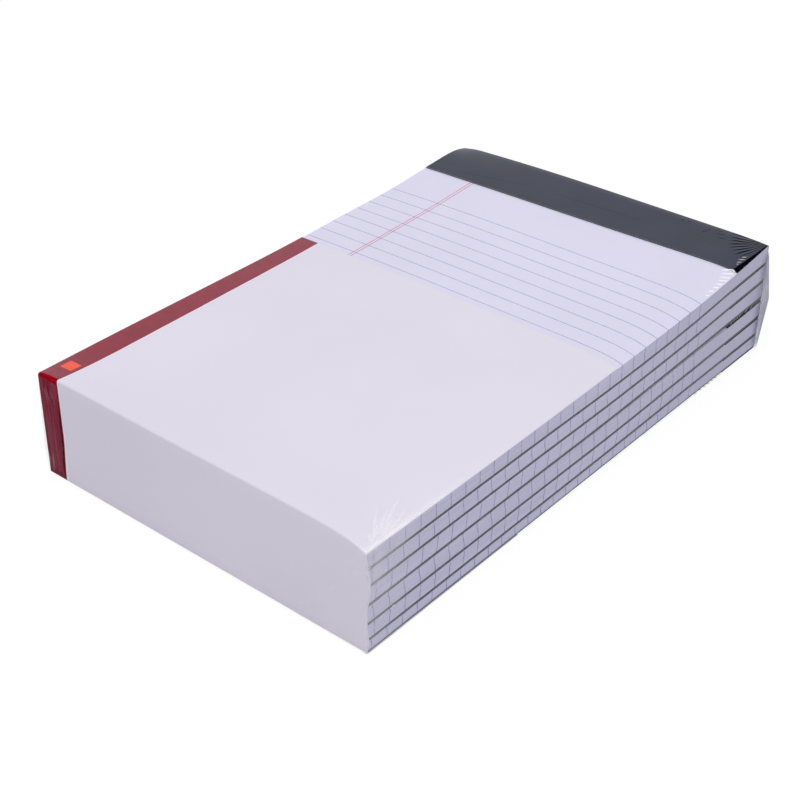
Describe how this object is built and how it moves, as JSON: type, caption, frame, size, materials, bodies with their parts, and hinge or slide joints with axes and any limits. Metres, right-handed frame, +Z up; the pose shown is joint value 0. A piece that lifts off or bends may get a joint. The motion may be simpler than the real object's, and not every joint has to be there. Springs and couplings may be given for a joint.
{
  "type": "legal pad pack",
  "caption": "Flat pack of junior ruled writing pads, each bound with tape at the head, under a folded paper wrap and clear shrink film.",
  "frame": {"origin": "centre of the pack's underside", "axes": "+Z up, +Y towards the bound heads of the pads, +X to the right of the sheets when read"},
  "size_m": [0.1278, 0.2048, 0.04],
  "materials": {
    "chipboard": "dark grey chipboard, fibrous cut edges",
    "sheets": "white bond paper with pale blue rules and a double red margin line",
    "tape": "blue-grey paper binding tape, satin",
    "wrap": "white coated paper with a maroon stripe down its left edge",
    "film": "clear glossy shrink film, gathered at the corners"
  },
  "bodies": {
    "root": {"backing_board_1": "chipboard", "backing_board_2": "chipboard", "backing_board_3": "chipboard", "backing_board_4": "chipboard", "backing_board_5": "chipboard", "backing_board_6": "chipboard", "sheet_block_1": "sheets", "sheet_block_2": "sheets", "sheet_block_3": "sheets", "sheet_block_4": "sheets", "sheet_block_5": "sheets", "sheet_block_6": "sheets", "binding_tape_1": "tape", "binding_tape_2": "tape", "binding_tape_3": "tape", "binding_tape_4": "tape", "binding_tape_5": "tape", "binding_tape_6": "tape", "printed_wrap": "wrap", "shrink_film": "film"}
  },
  "joints": []
}
